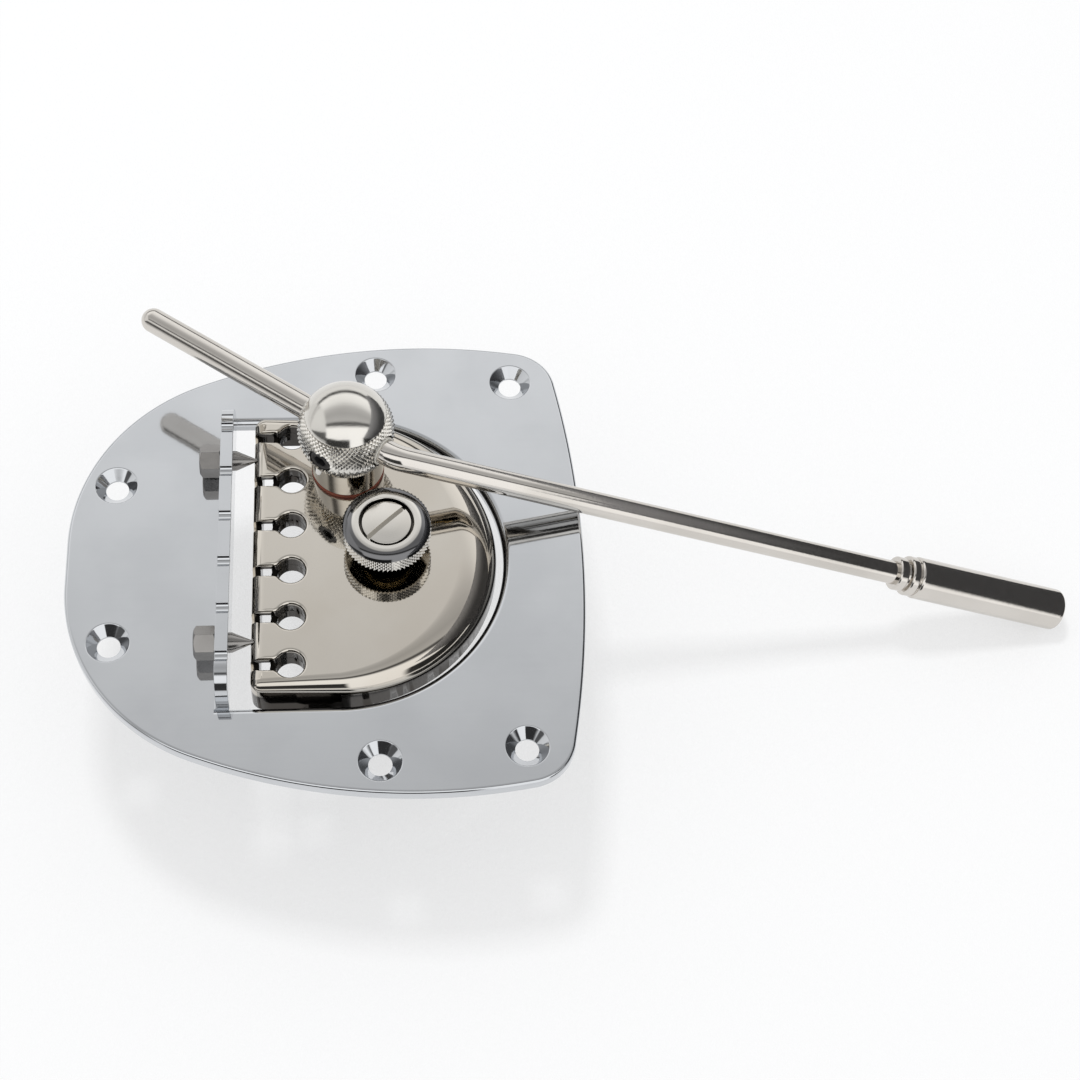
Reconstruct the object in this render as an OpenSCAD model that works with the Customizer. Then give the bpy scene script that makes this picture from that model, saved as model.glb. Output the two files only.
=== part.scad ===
// Guitar tremolo bridge: a sprung string plate rocking on two cone-pointed screws in a chrome plate,
// with a swivelling arm held in a ball head. The origin lies on the face that meets the guitar body,
// midway between the two side screws. +X runs away from the neck, +Z up out of the guitar.

/* [Main plate] */
// Distance from the side screws to the front edge
plate_front = 61.4; // [60.5:0.1:63]
// Distance from the side screws to the rear edge
plate_rear = 41.2; // [40.5:0.1:42]
// Half the width of the plate at its widest place
plate_half_w = 51.3; // [50.8:0.1:52.5]
// Thickness of the plate and of its folded flange
plate_t = 2.5; // [2.2:0.05:2.8]
// Radius of the two front shoulders
shoulder_r = 40.6; // [39:0.2:42]
// Radius of the two rear corners
corner_r = 9.7; // [8:0.1:11]
// Radius of the long bowed flanks
flank_r = 119; // [110:1:130]
// Radius of the bowed rear edge
rear_r = 224; // [180:2:300]
// Width of the bevel round the upper edge
plate_bevel = 0.8; // [0.5:0.05:1]

/* [Fixing holes] */
// Distance of the front pair of holes from the side pair
front_hole_x = 52.3; // [51:0.1:53]
// Distance between the front holes
front_hole_span = 35.8; // [32:0.2:38]
// Distance of the side holes from the plate's widest line
side_hole_edge = 7; // [6.5:0.1:7.6]
// Distance of the rear pair of holes from the side pair
rear_hole_x = 28; // [26:0.1:29]
// Distance of the rear holes from the plate's widest line
rear_hole_edge = 9.4; // [9:0.1:10]
// Diameter of the fixing holes
hole_d = 4.6; // [4.2:0.1:4.8]
// Diameter of the countersinks at the upper face
sink_d = 8.5; // [8:0.1:9]

/* [Flange and pivot screws] */
// Distance from the side screws to the front face of the flange
flange_x = 31; // [30.5:0.1:31.5]
// Height of the flange above the plate
flange_h = 8.8; // [8.2:0.1:9.5]
// Length of the flange across the plate
flange_len = 65.6; // [65:0.2:67]
// Radius of the flange's upper corners
flange_corner_r = 5.5; // [3:0.5:6]
// Depth of the string notches
notch_depth = 0.7; // [0.4:0.1:1]
// Radius of the string notches
notch_r = 1.5; // [1:0.1:2]
// Distance between neighbouring strings
string_pitch = 10.34; // [10:0.02:10.6]
// Height of the pivot line above the plate
pivot_h = 4.2; // [4:0.1:4.6]
// Diameter of the pivot screws
pivot_d = 4; // [3.6:0.1:4.2]
// Distance across the flats of the pivot screws' heads
pivot_hex = 5.8; // [5.4:0.1:6]
// Length of the pivot screws' heads
pivot_head_len = 4.3; // [3.5:0.1:5]
// Reach of the cone points past the flange
pivot_reach = 4.9; // [4.5:0.1:5.4]
// Length of the cones
cone_len = 4.4; // [3.8:0.1:4.6]

/* [String plate] */
// Depth of the cone seats in the string plate's front lip
seat_bite = 0.9; // [0.8:0.05:1]
// Height of the string plate's face over the pivot line
plate_over_pivot = 0.8; // [0.7:0.1:1]
// Thickness of the string plate
sheet_t = 1.6; // [1.4:0.05:1.8]
// Half the width of the string plate
sheet_half_w = 31; // [30.6:0.1:31.2]
// Distance from the string plate's front face to the centre of its round end
sheet_len = 17.1; // [16.6:0.1:17.6]
// Depth of the skirt below the mounting face
skirt_drop = 1.5; // [1:0.1:2]
// Radius of the rolled edge round the string plate
roll_r = 2; // [1.8:0.1:2.2]
// Radius of the rolled front lip
lip_r = 1.8; // [1.4:0.1:2]
// Width of the broad roll where the round end is furthest back
end_roll_w = 7; // [6:0.2:7.4]
// Radius of the broad roll
end_roll_r = 7.8; // [7.6:0.1:8.4]
// Gap between the skirt and the sides of the opening
side_gap = 1.4; // [1.2:0.1:1.6]
// Gap between the skirt and the round end of the opening
rear_gap = 1.4; // [1.2:0.1:2]
// Width of the rolled edge of the opening
opening_bevel = 1; // [0.6:0.1:1.4]
// Distance from the string plate's front face to the keyholes
key_setback = 7.6; // [7.2:0.1:8]
// Diameter of the keyholes
key_d = 5.6; // [5.2:0.1:5.8]
// Width of the keyholes' slots
slot_w = 2.2; // [1.8:0.1:2.4]
// Depth of the slots in the front lip
slot_depth = 3; // [2:0.1:3.5]
// Depth of the collar drawn down round each keyhole
key_collar_h = 3.8; // [3:0.1:4]
// Width of the soft edge round each keyhole
key_bevel = 0.5; // [0.3:0.05:0.6]

/* [Tension wheel] */
// Distance of the tension screw behind the side screws
wheel_x = 1.9; // [1.5:0.1:3]
// Diameter of the knurled wheel
wheel_d = 17.4; // [16.6:0.2:18]
// Height of the wheel's underside above the string plate
wheel_lift = 4.2; // [3.8:0.1:4.4]
// Height of the wheel's knurled rim and crown
wheel_h = 4.8; // [4.6:0.1:5]
// Diameter of the wheel's hub
hub_d = 6; // [5.6:0.1:6.4]
// Diameter of the slotted screw's head
screw_head_d = 10.2; // [9.6:0.1:10.6]
// Thickness of the slotted screw's head
screw_head_t = 1.9; // [1.7:0.1:2]
// Width of the screwdriver slot
drive_slot_w = 0.9; // [0.8:0.05:1]
// Direction of the screwdriver slot
drive_slot_angle = 43; // [0:1:90]
// Diameter of the tension screw
tension_d = 4; // [3.8:0.1:4.2]
// Diameter of the shoulder bush under the wheel
shoulder_d = 9; // [8.6:0.2:9.6]

/* [Spring and bracket] */
// Depth of the bracket's shelf below the mounting face
shelf_depth = 12; // [11.5:0.1:12.5]
// Thickness of the bracket
bracket_t = 2.2; // [2:0.1:2.4]
// Distance of the bracket's two legs in front of the side screws
strap_x = 9.6; // [9.4:0.1:9.8]
// Width of the bracket's strap, legs and feet
strap_w = 8.4; // [7.6:0.2:8.6]
// Half the width of the bracket's tongue
shelf_half_w = 8.5; // [8.2:0.1:9]
// Diameter of the bracket's screws
bracket_screw_d = 3; // [2.6:0.1:3.2]
// Diameter of the spring's wire
wire_d = 1.6; // [1.4:0.05:1.7]
// Outer diameter of the spring
spring_d = 12.4; // [12:0.1:13]
// Length of the fitted spring
spring_len = 17.5; // [17:0.1:18.5]
// Number of curls in the spring
spring_curls = 5.5; // [4.5:1:6.5]
// Thickness of the spring's seat and cup
cup_t = 1.2; // [1:0.1:1.4]
// Height of the rims of the seat and cup
cup_rim = 2; // [1.5:0.1:2.4]
// Thickness of the square nut
nut_t = 3.2; // [3:0.1:3.4]
// Distance across the flats of the square nut
nut_w = 8; // [7.6:0.2:9]

/* [Arm head] */
// Distance of the arm's pivot in front of the side screws
post_x = 5.7; // [5.2:0.1:6.2]
// Distance of the arm's pivot from the middle line
post_y = 18.2; // [17.8:0.1:18.6]
// Diameter of the post below the ball
post_d = 14.4; // [13.8:0.1:15]
// Diameter of the post's shank in its bush
shank_d = 8; // [7.6:0.1:8.4]
// Diameter of the post's threaded end
post_thread_d = 6; // [5.6:0.1:6.4]
// Outer diameter of the post's bush
bush_d = 11; // [10.4:0.1:11.6]
// Thickness of the red ring under the post
ring_t = 0.8; // [0.6:0.05:1]
// Diameter of the ball
ball_d = 19.2; // [18.8:0.1:19.6]
// Height of the ball's centre above the plate
ball_h = 18.75; // [18.4:0.05:19.2]
// Diameter of the ball's set screw
set_screw_d = 5; // [4.6:0.1:5.2]
// Wall of the nylon liner round the arm
liner_wall = 0.4; // [0.35:0.05:0.5]

/* [Arm] */
// Diameter of the arm
arm_d = 5; // [4.8:0.05:5.1]
// Length of the arm's short end from the ball's centre
short_len = 49.3; // [40:0.5:56]
// Distance from the ball's centre to the corner of the bend
bend_at = 11.56; // [11.4:0.02:12.2]
// Radius of the bend
bend_r = 5; // [4:0.5:5.5]
// Length of the arm's long end from the corner of the bend
long_len = 155; // [140:1:158]
// Direction of the short end, seen from above
short_angle = -35; // [-38:0.5:-34]
// Direction of the long end, seen from above
long_angle = -2.1; // [-3:0.1:0]
// Dip of the long end below the plate's plane
long_dip = 21.7; // [19:0.1:21.8]
// Diameter of the grip
grip_d = 9; // [8:0.1:10]
// Length of the grip
grip_len = 41.5; // [36:0.5:48]

/* [Fits] */
// Clearance on the radius of turning and sliding parts
run_gap = 0.05; // [0.03:0.01:0.08]
// Clearance between faces that turn against each other
face_gap = 0.05; // [0.03:0.01:0.08]

/* [Hidden] */
$fn = 72;
string_count = 6;
over = 1;
seat_clear = 0.05;

flank_y = plate_half_w - flank_r;
flank_x = 9;
shoulder_x = shoulder_r - plate_front;
shoulder_y = flank_y + sqrt(pow(flank_r - shoulder_r, 2) - pow(shoulder_x - flank_x, 2));

fold_inner_r = 0.5;
fold_r = fold_inner_r + plate_t;
flange_back = plate_t - flange_x;
flange_top = plate_t + flange_h;
flange_half = flange_len / 2;
string_ys = [for (i = [0 : string_count - 1]) (i - (string_count - 1) / 2) * string_pitch];
pivot_y = 2 * string_pitch;
pivot_z = plate_t + pivot_h;
pivot_x = flange_back + pivot_reach;
point_r = 0.12;

sheet_front = pivot_x - seat_bite;
sheet_cx = sheet_front + sheet_len;
sheet_top = pivot_z + plate_over_pivot;
sheet_under = sheet_top - sheet_t;
key_x = sheet_front + key_setback;
key_collar_d = key_d + 2.4;
// The flat of the string plate ends on this circle, off the centre of the round end
flat_r = (pow(sheet_half_w - roll_r, 2) + pow(sheet_half_w - end_roll_w, 2)) / (2 * (sheet_half_w - end_roll_w));
flat_cx = sheet_cx + sheet_half_w - end_roll_w - flat_r;
opening_r = sheet_half_w + side_gap;
opening_cx = sheet_cx + rear_gap - side_gap;

wheel_under = sheet_top + wheel_lift;
wheel_top = wheel_under + wheel_h;
wheel_bevel = 0.5;
wheel_crown = 1.4;
recess_r = screw_head_d / 2 + 0.15;
head_under = wheel_top - screw_head_t;
shoulder_t = 1;
shoulder_tube_d = hub_d + 1;
bush_tail = 1.2;

bracket_head_d = 2 * bracket_screw_d;
leg_y = opening_r + 1.2;
bracket_screw_y = leg_y + bracket_t + bracket_head_d / 2 + 0.4;
foot_end = bracket_screw_y + bracket_head_d / 2 + 0.2;
shelf_under = -shelf_depth - bracket_t;
shelf_slot_w = tension_d + 1.2;
shelf_slot_len = 2.9;
shelf_slot_back = 0.3;
bracket_thread_depth = 1.7;
spring_r = (spring_d - wire_d) / 2;
seat_rim = 1;
cup_r = spring_d / 2 + 0.2 + seat_rim;
seat_under = shelf_under - cup_t;
cup_face = seat_under - spring_len;
cup_under = cup_face - cup_t;
nut_under = cup_under - nut_t;
screw_end = nut_under - 1.2;

ball_z = plate_t + ball_h;
post_foot = sheet_top + ring_t + face_gap;
ball_flat = ball_z - sqrt(pow(ball_d / 2, 2) - pow(post_d / 2, 2));
spigot_r = 4;
spigot_top = ball_flat + 2;
bush_flange_d = 15;
bush_flange_t = 1.5;
bush_below = 6.4;
bush_end = sheet_under - bush_below;
washer_t = 0.8;
washer_d = 12.6;
lock_washer_t = 1.2;
lock_washer_d = 11;
post_nut_t = 4;
post_nut_hex = 10;
washer_top = bush_end - face_gap;
lock_washer_top = washer_top - washer_t;
post_nut_top = lock_washer_top - lock_washer_t;
post_end = post_nut_top - post_nut_t - 1;
liner_r = arm_d / 2 + run_gap + liner_wall;
bore_r = liner_r + run_gap;
bend_turn = acos(cos(long_dip) * cos(long_angle - short_angle));
bend_tangent = bend_r * tan(bend_turn / 2);
bend_roll = atan2(-sin(long_dip), cos(long_dip) * sin(long_angle - short_angle));
bend_start = bend_at - bend_tangent;
liner_back = 0.7 - ball_d / 2;
liner_front = -liner_back;
grip_start = long_len - grip_len;
grip_end_wall = 3.9;
collar_len = 2.4;
collar_gap = 0.5;
grip_end_r = 0.9;
bend_lap = 1;

// Centre of a circle of radius r that touches two circles from inside
function inner_touch(c1, r1, c2, r2, r) =
    let (d = norm(c2 - c1), a = r1 - r, b = r2 - r,
        along = (a * a - b * b + d * d) / (2 * d),
        up = sqrt(a * a - along * along),
        e = (c2 - c1) / d)
    c1 + along * e + up * [-e[1], e[0]];

corner_centre = inner_touch([plate_rear - rear_r, 0], rear_r, [flank_x, flank_y], flank_r, corner_r);

// Direction from one point to another, in degrees
function heading(from, to) = atan2(to[1] - from[1], to[0] - from[0]);

// Points along an arc, without its first point
function arc_points(c, r, from, to, steps) =
    [for (i = [1 : steps]) let (a = from + (to - from) * i / steps) c + r * [cos(a), sin(a)]];

// Upper half of the main plate's outline from the front to the rear, drawn in by inset all round
function half_outline(inset) =
    let (flank = [flank_x, flank_y],
        shoulder = [shoulder_x, shoulder_y],
        rear = [plate_rear - rear_r, 0],
        a1 = heading(flank, shoulder),
        a2 = heading(flank, corner_centre),
        a3 = heading(rear, corner_centre))
    concat([shoulder + [inset - shoulder_r, 0]],
        arc_points(shoulder, shoulder_r - inset, 180, a1, 14),
        arc_points(flank, flank_r - inset, a1, a2, 9),
        arc_points(corner_centre, corner_r - inset, a2, a3, 8),
        arc_points(rear, rear_r - inset, a3, 0, 5));

function mirrored(points) = [for (i = [len(points) - 1 : -1 : 0]) [points[i][0], -points[i][1]]];

module both_sides() {
    children();
    mirror([0, 1, 0]) children();
}

function plate_ring(inset, z) =
    let (upper = half_outline(inset), lower = mirrored([for (i = [0 : len(upper) - 2]) upper[i]]))
    [for (p = concat(upper, lower)) [p[0], p[1], z]];

// The plain plate, with a bevel round its upper edge
module plate_blank() {
    rings = [plate_ring(0, 0), plate_ring(0, plate_t - plate_bevel), plate_ring(plate_bevel, plate_t)];
    n = len(rings[0]);
    sides = [for (k = [0, 1], i = [0 : n - 1])
        let (j = (i + 1) % n)
        each [[k * n + i, k * n + j, (k + 1) * n + j], [k * n + i, (k + 1) * n + j, (k + 1) * n + i]]];
    floor_face = [for (i = [n - 1 : -1 : 0]) i];
    top_face = [for (i = [0 : n - 1]) 2 * n + i];
    polyhedron(concat(rings[0], rings[1], rings[2]), concat(sides, [floor_face, top_face]));
}

module fixing_hole() {
    translate([0, 0, -over]) cylinder(d = hole_d, h = plate_t + 2 * over);
    sink = (sink_d - hole_d) / 2;
    translate([0, 0, plate_t - sink]) cylinder(d1 = hole_d, d2 = sink_d, h = sink);
    translate([0, 0, plate_t]) cylinder(d = sink_d, h = over);
}

module fixing_holes() {
    both_sides() {
        translate([-front_hole_x, front_hole_span / 2, 0]) fixing_hole();
        translate([0, plate_half_w - side_hole_edge, 0]) fixing_hole();
        translate([rear_hole_x, plate_half_w - rear_hole_edge, 0]) fixing_hole();
    }
}

// Opening with a straight front behind the flange, straight sides, a round end and a bevelled upper edge
module plate_opening() {
    translate([0, 0, -over]) {
        translate([opening_cx, 0, 0]) cylinder(r = opening_r, h = plate_t + 2 * over);
        translate([flange_back, -opening_r, 0])
            cube([opening_cx - flange_back, 2 * opening_r, plate_t + 2 * over]);
    }
    translate([opening_cx, 0, plate_t - opening_bevel])
        cylinder(r1 = opening_r, r2 = opening_r + opening_bevel + over, h = opening_bevel + over);
    wide = opening_r + opening_bevel + over;
    translate([flange_back, 0, 0]) rotate([90, 0, 90]) linear_extrude(opening_cx - flange_back)
        polygon([[-opening_r, plate_t - opening_bevel], [opening_r, plate_t - opening_bevel],
            [wide, plate_t + over], [-wide, plate_t + over]]);
}

// Cuts away what lies in front of the flange's rear face
module behind_flange() {
    intersection() {
        children();
        translate([flange_back, -plate_half_w, -2 * over])
            cube([plate_rear - flange_back, 2 * plate_half_w, plate_t + 4 * over]);
    }
}

module flange() {
    straight = flange_half - flange_corner_r;
    translate([-flange_x, 0, 0]) rotate([90, 0, 90]) linear_extrude(plate_t) {
        translate([-flange_half, fold_r]) square([flange_len, flange_top - flange_corner_r - fold_r]);
        translate([-straight, fold_r]) square([2 * straight, flange_top - fold_r]);
        for (side = [-1, 1])
            translate([side * straight, flange_top - flange_corner_r]) circle(flange_corner_r);
    }
}

// Rounded fold between the plate and its flange
module flange_fold() {
    translate([-flange_x - fold_inner_r, flange_half, fold_r]) rotate([90, 0, 0])
        difference() {
            linear_extrude(flange_len) intersection() {
                circle(fold_r);
                translate([0, -fold_r]) square(fold_r);
            }
            translate([0, 0, -over]) cylinder(r = fold_inner_r, h = flange_len + 2 * over);
        }
}

module string_notches() {
    for (y = string_ys)
        translate([-flange_x - over, y, flange_top + notch_r - notch_depth]) rotate([0, 90, 0])
            cylinder(r = notch_r, h = plate_t + 2 * over);
}

module main_plate() {
    fold_start = -flange_x - fold_inner_r;
    color("gainsboro") difference() {
        union() {
            difference() {
                plate_blank();
                behind_flange() plate_opening();
                translate([fold_start, -flange_half, -over])
                    cube([flange_back - fold_start + 0.01, flange_len, plate_t + 2 * over]);
            }
            flange_fold();
            flange();
        }
        fixing_holes();
        string_notches();
        for (side = [-1, 1])
            translate([-flange_x - over, side * pivot_y, pivot_z]) rotate([0, 90, 0])
                cylinder(d = pivot_d + 2 * run_gap, h = plate_t + 2 * over);
        for (side = [-1, 1])
            translate([-strap_x, side * bracket_screw_y, -over])
                cylinder(d = bracket_screw_d, h = bracket_thread_depth + over);
    }
}

// Hex head, plain shank and cone point, lying along +X with the point at the pivot line
module pivot_screw(side) {
    color("dimgray") translate([0, side * pivot_y, pivot_z]) rotate([0, 90, 0]) {
        translate([0, 0, -flange_x - pivot_head_len]) intersection() {
            cylinder(d = pivot_hex / cos(30), h = pivot_head_len, $fn = 6);
            cylinder(d1 = pivot_hex, d2 = pivot_hex + 4 * pivot_head_len, h = pivot_head_len);
        }
        translate([0, 0, -flange_x - 0.01]) cylinder(d = pivot_d, h = flange_x + pivot_x - cone_len + 0.01);
        translate([0, 0, pivot_x - cone_len]) cylinder(d1 = pivot_d, r2 = point_r, h = cone_len);
    }
}

module pivot_screw_far() {
    pivot_screw(1);
}

module pivot_screw_near() {
    pivot_screw(-1);
}

// Half of a cover's cross-section: wide to w, up to top, with a rounded upper corner
module cover_profile(w, top, r, bottom) {
    translate([0, bottom]) square([w, top - r - bottom]);
    translate([0, bottom]) square([w - r, top - bottom]);
    translate([w - r, top - r]) circle(r);
}

// The string plate with one even roll, drawn in by inset: a straight front, straight sides and a round end
module even_form(inset, bottom) {
    w = sheet_half_w - inset;
    top = sheet_top - inset;
    r = max(roll_r - inset, 0.3);
    intersection() {
        translate([sheet_front, 0, 0]) rotate([90, 0, 90]) linear_extrude(sheet_len) {
            cover_profile(w, top, r, bottom);
            mirror([1, 0]) cover_profile(w, top, r, bottom);
        }
        translate([sheet_cx, w + over, 0]) rotate([90, 0, 0]) linear_extrude(2 * (w + over))
            mirror([1, 0]) cover_profile(sheet_len - inset, top, max(lip_r - inset, 0.3), bottom - over);
    }
    translate([sheet_cx, 0, 0]) rotate([0, 0, -90]) rotate_extrude(angle = 180) cover_profile(w, top, r, bottom);
}

// The same with the broad roll at the round end, which narrows along the sides
module sheet_form(inset, bottom) {
    intersection() {
        even_form(inset, bottom);
        translate([flat_cx, 0, 0]) rotate_extrude()
            cover_profile(flat_r + end_roll_r - inset, sheet_top - inset + 0.04, end_roll_r - inset, bottom - over);
    }
}

module keyhole() {
    translate([0, 0, sheet_under - key_collar_h - over]) cylinder(d = key_d, h = sheet_t + key_collar_h + 2 * over);
    translate([0, 0, sheet_top - key_bevel]) cylinder(d1 = key_d, d2 = key_d + 2 * key_bevel, h = key_bevel + 0.01);
    translate([-key_setback - over, -slot_w / 2, sheet_top - slot_depth])
        cube([key_setback + over, slot_w, slot_depth + over]);
}

// Cone seat for a pivot point, wider than the point so that the plate can rock
module cone_seat(side) {
    depth = seat_bite + seat_clear + point_r;
    translate([sheet_front + depth, side * pivot_y, pivot_z]) rotate([0, -90, 0])
        cylinder(r1 = point_r / 2, r2 = 2 * depth + point_r / 2, h = 2 * depth);
}

module string_plate() {
    color("tan") difference() {
        union() {
            difference() {
                sheet_form(0, -skirt_drop);
                sheet_form(sheet_t, -skirt_drop - over);
            }
            for (y = string_ys) translate([key_x, y, sheet_under - key_collar_h])
                cylinder(d = key_collar_d, h = key_collar_h + sheet_t / 2);
        }
        for (y = string_ys) translate([key_x, y, 0]) keyhole();
        for (side = [-1, 1]) cone_seat(side);
        translate([-post_x, post_y, sheet_under - over]) cylinder(d = bush_d, h = sheet_t + 2 * over);
        translate([wheel_x, 0, sheet_under - over]) cylinder(d = shoulder_tube_d, h = sheet_t + 2 * over);
    }
}

module wheel_bush() {
    color("darkgoldenrod") translate([wheel_x, 0, 0]) difference() {
        union() {
            translate([0, 0, sheet_top]) cylinder(d = shoulder_d, h = shoulder_t);
            translate([0, 0, sheet_under - bush_tail]) cylinder(d = shoulder_tube_d, h = sheet_t + bush_tail + 0.01);
        }
        translate([0, 0, sheet_under - bush_tail - over])
            cylinder(d = tension_d + 2 * run_gap, h = sheet_t + bush_tail + shoulder_t + 2 * over);
    }
}

module thumb_wheel() {
    r = wheel_d / 2;
    hub_foot = sheet_top + shoulder_t + face_gap;
    crown = [for (a = [0 : 15 : 90]) [recess_r + 0.4 + (r - recess_r - 0.4) * cos(a),
        wheel_top - wheel_crown + wheel_crown * sin(a)]];
    color("silver") translate([wheel_x, 0, 0]) rotate_extrude() polygon(concat(
        [[tension_d / 2, hub_foot], [hub_d / 2, hub_foot], [hub_d / 2, wheel_under],
            [r - wheel_bevel, wheel_under], [r, wheel_under + wheel_bevel]],
        crown,
        [[recess_r, wheel_top - 0.4], [recess_r, head_under], [tension_d / 2, head_under]]));
}

module tension_screw() {
    slot_depth = 1;
    color("silver") translate([wheel_x, 0, 0]) difference() {
        union() {
            translate([0, 0, head_under]) cylinder(d = screw_head_d, h = screw_head_t);
            translate([0, 0, screw_end]) cylinder(d = tension_d, h = head_under - screw_end + 0.01);
        }
        translate([0, 0, wheel_top - slot_depth]) rotate([0, 0, drive_slot_angle])
            translate([-wheel_d / 2, -drive_slot_w / 2, 0]) cube([wheel_d, drive_slot_w, slot_depth + over]);
    }
}

// Bracket: a strap across the underside on two legs with feet, and a tongue back to the spring
module spring_bracket() {
    strap_back = -strap_x - strap_w / 2;
    color("lightsteelblue") difference() {
        union() {
            translate([strap_back, -leg_y - bracket_t, shelf_under]) cube([strap_w, 2 * (leg_y + bracket_t), bracket_t]);
            translate([-strap_x, -shelf_half_w, shelf_under]) cube([strap_x + wheel_x, 2 * shelf_half_w, bracket_t]);
            translate([wheel_x, 0, shelf_under]) cylinder(r = shelf_half_w, h = bracket_t);
            both_sides() {
                translate([strap_back, leg_y, shelf_under]) cube([strap_w, bracket_t, shelf_depth + bracket_t]);
                translate([strap_back, leg_y, -bracket_t]) cube([strap_w, foot_end - leg_y, bracket_t]);
            }
        }
        for (dx = [0, shelf_slot_len]) translate([wheel_x - shelf_slot_back + dx, 0, shelf_under - over])
            cylinder(d = shelf_slot_w, h = bracket_t + 2 * over);
        translate([wheel_x - shelf_slot_back, -shelf_slot_w / 2, shelf_under - over])
            cube([shelf_slot_len, shelf_slot_w, bracket_t + 2 * over]);
        for (side = [-1, 1]) translate([-strap_x, side * bracket_screw_y, -bracket_t - over])
            cylinder(d = bracket_screw_d + 0.3, h = bracket_t + 2 * over);
    }
}

module bracket_screws() {
    head_t = 1.6;
    color("gray") for (side = [-1, 1])
        translate([-strap_x, side * bracket_screw_y, 0]) difference() {
            union() {
                translate([0, 0, -bracket_t - head_t])
                    cylinder(d1 = bracket_head_d - 1.2, d2 = bracket_head_d, h = head_t);
                translate([0, 0, -bracket_t - 0.01])
                    cylinder(d = bracket_screw_d, h = bracket_t + bracket_thread_depth - 0.1);
            }
            translate([0, 0, -bracket_t - head_t - over]) cylinder(d = 2.2, h = over + 1, $fn = 6);
        }
}

module cup(face, up) {
    translate([wheel_x, 0, face]) mirror([0, 0, up ? 0 : 1]) difference() {
        translate([0, 0, -cup_t]) cylinder(r = cup_r, h = cup_t + cup_rim);
        cylinder(r = cup_r - seat_rim, h = cup_rim + over);
        children();
    }
}

// Seat that takes the top of the spring under the bracket's shelf
module spring_seat() {
    color("lightgray") cup(seat_under, false)
        translate([0, 0, -cup_t - over]) cylinder(d = spring_d - 2 * wire_d, h = cup_t + 2 * over);
}

// Cup that takes the foot of the spring on the nut
module spring_cup() {
    color("lightgray") cup(cup_face, true)
        translate([0, 0, -cup_t - over]) cylinder(d = tension_d + 2 * run_gap, h = cup_t + 2 * over);
}

module spring_nut() {
    color("goldenrod") translate([wheel_x, 0, 0]) difference() {
        translate([-nut_w / 2, -nut_w / 2, nut_under]) cube([nut_w, nut_w, nut_t]);
        translate([0, 0, nut_under - over]) cylinder(d = tension_d + 2 * run_gap, h = nut_t + 2 * over);
    }
}

// The spring's centre line: a straight foot, the curls and a straight head
curl_steps = 8;
spring_steps = spring_curls * curl_steps;
curls_low = cup_face + wire_d + 0.3;
curls_high = seat_under - wire_d - 0.3;
function curl_point(i) =
    let (a = 360 * i / curl_steps)
    [spring_r * cos(a), spring_r * sin(a), curls_low + (curls_high - curls_low) * i / spring_steps];
spring_line = concat(
    [[spring_r, 0, cup_face], [spring_r, 0, curls_low - 0.5]],
    [for (i = [0.4, each [1 : spring_steps - 1], spring_steps - 0.4]) curl_point(i)],
    [[curl_point(spring_steps)[0], curl_point(spring_steps)[1], curls_high + 0.5],
        [curl_point(spring_steps)[0], curl_point(spring_steps)[1], seat_under]]);

// A tube of the given number of sides along a line whose points lie round the Z axis
module round_tube(line, d, sides) {
    last = len(line) - 1;
    points = [for (i = [0 : last])
        let (end = i == 0 || i == last,
            ahead = line[min(i + 1, last)] - line[max(i - 1, 0)],
            t = end ? [0, 0, 1] : ahead / norm(ahead),
            out = [line[i][0], line[i][1], 0],
            n0 = out - (out * t) * t,
            n = n0 / norm(n0),
            b = cross(t, n))
        for (k = [0 : sides - 1]) line[i] + d / 2 * (cos(360 * k / sides) * n + sin(360 * k / sides) * b)];
    sheets = [for (i = [0 : last - 1], k = [0 : sides - 1])
        let (a = i * sides + k, b = i * sides + (k + 1) % sides)
        each [[a, b + sides, b], [a, a + sides, b + sides]]];
    ends = concat(
        [for (k = [1 : sides - 2]) [0, k, k + 1]],
        [for (k = [1 : sides - 2]) [last * sides, last * sides + k + 1, last * sides + k]]);
    polyhedron(points, concat(sheets, ends));
}

// Least gap between one curl and the next, measured on points a full curl or nearly so apart
curl_gaps = [for (i = [2 : len(spring_line) - 3], j = [i + curl_steps - 2 : len(spring_line) - 3])
    if (j > i + 2) norm(spring_line[i] - spring_line[j]) - wire_d];
echo(least_spring_gap = min(curl_gaps));

module main_spring() {
    color("slategray") translate([wheel_x, 0, 0]) round_tube(spring_line, wire_d, 6);
}

module at_post() {
    translate([-post_x, post_y, 0]) children();
}

module post_bush() {
    color("darkgoldenrod") at_post() difference() {
        union() {
            translate([0, 0, bush_end]) cylinder(d = bush_d, h = sheet_top - bush_end);
            translate([0, 0, sheet_under - bush_flange_t]) cylinder(d = bush_flange_d, h = bush_flange_t);
        }
        translate([0, 0, bush_end - over]) cylinder(d = shank_d + 2 * run_gap, h = sheet_top - bush_end + 2 * over);
    }
}

module post_ring() {
    color("firebrick") at_post() translate([0, 0, sheet_top]) difference() {
        cylinder(d = post_d + 0.5, h = ring_t);
        translate([0, 0, -over]) cylinder(d = shank_d + 1, h = ring_t + 2 * over);
    }
}

module arm_post() {
    color("silver") at_post() rotate_extrude() polygon([
        [0, post_end], [post_thread_d / 2 - 0.4, post_end], [post_thread_d / 2, post_end + 0.4],
        [post_thread_d / 2, bush_end + 0.3], [shank_d / 2, bush_end + 0.3], [shank_d / 2, post_foot],
        [post_d / 2, post_foot], [post_d / 2, ball_flat], [spigot_r, ball_flat],
        [spigot_r, spigot_top], [0, spigot_top]]);
}

module post_collar(d, top, t) {
    at_post() difference() {
        translate([0, 0, top - t]) cylinder(d = d, h = t);
        translate([0, 0, top - t - over]) cylinder(d = post_thread_d + 2 * run_gap, h = t + 2 * over);
    }
}

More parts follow.
